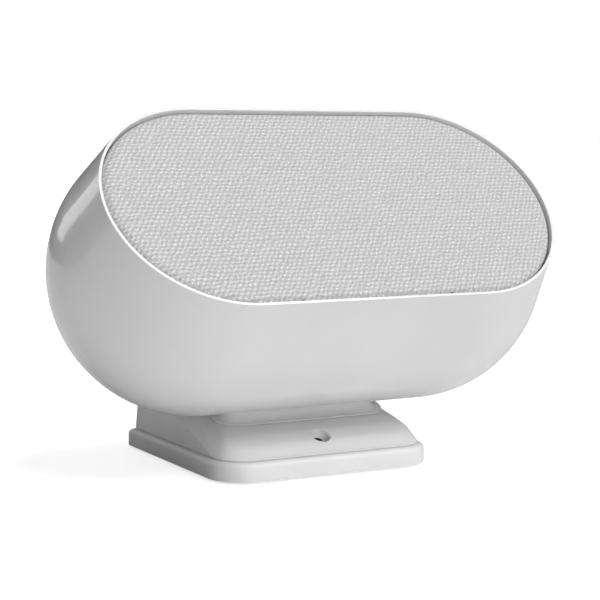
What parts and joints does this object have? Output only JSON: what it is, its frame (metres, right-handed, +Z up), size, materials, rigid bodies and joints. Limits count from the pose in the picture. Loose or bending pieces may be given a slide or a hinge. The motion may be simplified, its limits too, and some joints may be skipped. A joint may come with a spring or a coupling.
{
  "type": "smart speaker",
  "caption": "Oval smart speaker with a flat cloth grille, leaning back in a tilting cradle on a small square foot, with drivers, electronics and rear sockets inside.",
  "frame": {"origin": "on the table, in the middle of the overall footprint", "axes": "+Z up; the cloth face looks towards -Y and upwards; +X is to the right of someone facing the cloth"},
  "size_m": [0.2688, 0.1666, 0.1834],
  "materials": {
    "shell_white": "gloss white moulding",
    "grille_cloth": "light grey woven cloth",
    "black_plastic": "matt black moulding",
    "grey_plastic": "matt mid grey moulding",
    "rubber_grey": "soft grey rubber",
    "gasket_foam": "closed-cell foam rubber",
    "screw_steel": "zinc-plated steel",
    "ballast_steel": "painted steel plate",
    "magnet_ferrite": "ferrite magnet, coated",
    "copper": "copper wire on a former",
    "cone_black": "paper-pulp cone, black",
    "spider_cloth": "doped cotton",
    "board_green": "glass-epoxy circuit board",
    "heatsink_aluminium": "anodised aluminium",
    "shield_steel": "tin-plated steel",
    "transformer_ferrite": "ferrite core and taped winding",
    "capacitor_sleeve": "dark blue sleeve",
    "dome_aluminium": "bright aluminium"
  },
  "bodies": {
    "foot": {"foot_plate": "shell_white", "foot_cover": "shell_white", "foot_ballast": "ballast_steel", "foot_pads": "rubber_grey", "foot_screws": "screw_steel", "cradle": "shell_white", "cradle_screws": "screw_steel", "saddle_pad_left": "rubber_grey", "saddle_pad_right": "rubber_grey", "clamp_screw": "screw_steel", "clamp_washer": "screw_steel", "clamp_shoe": "grey_plastic"},
    "cabinet": {"cabinet_shell": "shell_white", "tilt_track": "black_plastic", "baffle": "black_plastic", "baffle_gasket": "gasket_foam", "baffle_screws": "screw_steel", "grille_frame": "black_plastic", "grille_cloth": "grille_cloth", "woofer_left_basket": "ballast_steel", "woofer_left_yoke": "screw_steel", "woofer_left_magnet": "magnet_ferrite", "woofer_left_top_plate": "screw_steel", "woofer_left_spider": "spider_cloth", "woofer_left_surround": "rubber_grey", "woofer_right_basket": "ballast_steel", "woofer_right_yoke": "screw_steel", "woofer_right_magnet": "magnet_ferrite", "woofer_right_top_plate": "screw_steel", "woofer_right_spider": "spider_cloth", "woofer_right_surround": "rubber_grey", "driver_screws": "screw_steel", "tweeter_plate": "ballast_steel", "tweeter_magnet": "magnet_ferrite", "tweeter_surround": "rubber_grey", "main_board": "board_green", "shield_can": "shield_steel", "amp_heatsink": "heatsink_aluminium", "power_board": "board_green", "transformer": "transformer_ferrite", "capacitors": "capacitor_sleeve", "board_screws": "screw_steel", "mic_board": "board_green", "connector_panel": "grey_plastic", "panel_screws": "screw_steel", "power_inlet": "black_plastic", "aux_socket": "black_plastic", "jack_board": "board_green"},
    "woofer_left_motion": {"woofer_left_coil": "copper", "woofer_left_cone": "cone_black", "woofer_left_dust_cap": "black_plastic"},
    "woofer_right_motion": {"woofer_right_coil": "copper", "woofer_right_cone": "cone_black", "woofer_right_dust_cap": "black_plastic"},
    "tweeter_motion": {"tweeter_dome": "dome_aluminium"},
    "pair_button": {"pair_button": "grey_plastic"},
    "mic_switch": {"mic_switch": "grey_plastic"}
  },
  "joints": [
    {"name": "cabinet_tilt", "type": "hinge", "parent": "foot", "child": "cabinet", "pos_m": [0, -0.00353, 0.1031], "axis": [-1, 0, 0], "range_deg": [-15, 10]},
    {"name": "woofer_left_stroke", "type": "slide", "parent": "cabinet", "child": "woofer_left_motion", "axis": [0, -0.7314, 0.682], "range_m": [-0.0025, 0.0025], "stiffness_N_per_m": 1200, "deforming": ["woofer_left_surround", "woofer_left_spider"]},
    {"name": "woofer_right_stroke", "type": "slide", "parent": "cabinet", "child": "woofer_right_motion", "axis": [0, -0.7314, 0.682], "range_m": [-0.0025, 0.0025], "stiffness_N_per_m": 1200, "deforming": ["woofer_right_surround", "woofer_right_spider"]},
    {"name": "tweeter_stroke", "type": "slide", "parent": "cabinet", "child": "tweeter_motion", "axis": [0, -0.7314, 0.682], "range_m": [-0.0003, 0.0003], "stiffness_N_per_m": 1500, "deforming": ["tweeter_surround"]},
    {"name": "pair_button_press", "type": "slide", "parent": "cabinet", "child": "pair_button", "axis": [0, -1, 0], "range_m": [0, 0.0005], "stiffness_N_per_m": 600},
    {"name": "mic_switch_slide", "type": "slide", "parent": "cabinet", "child": "mic_switch", "axis": [1, 0, 0], "range_m": [-0.002, 0.002]}
  ]
}
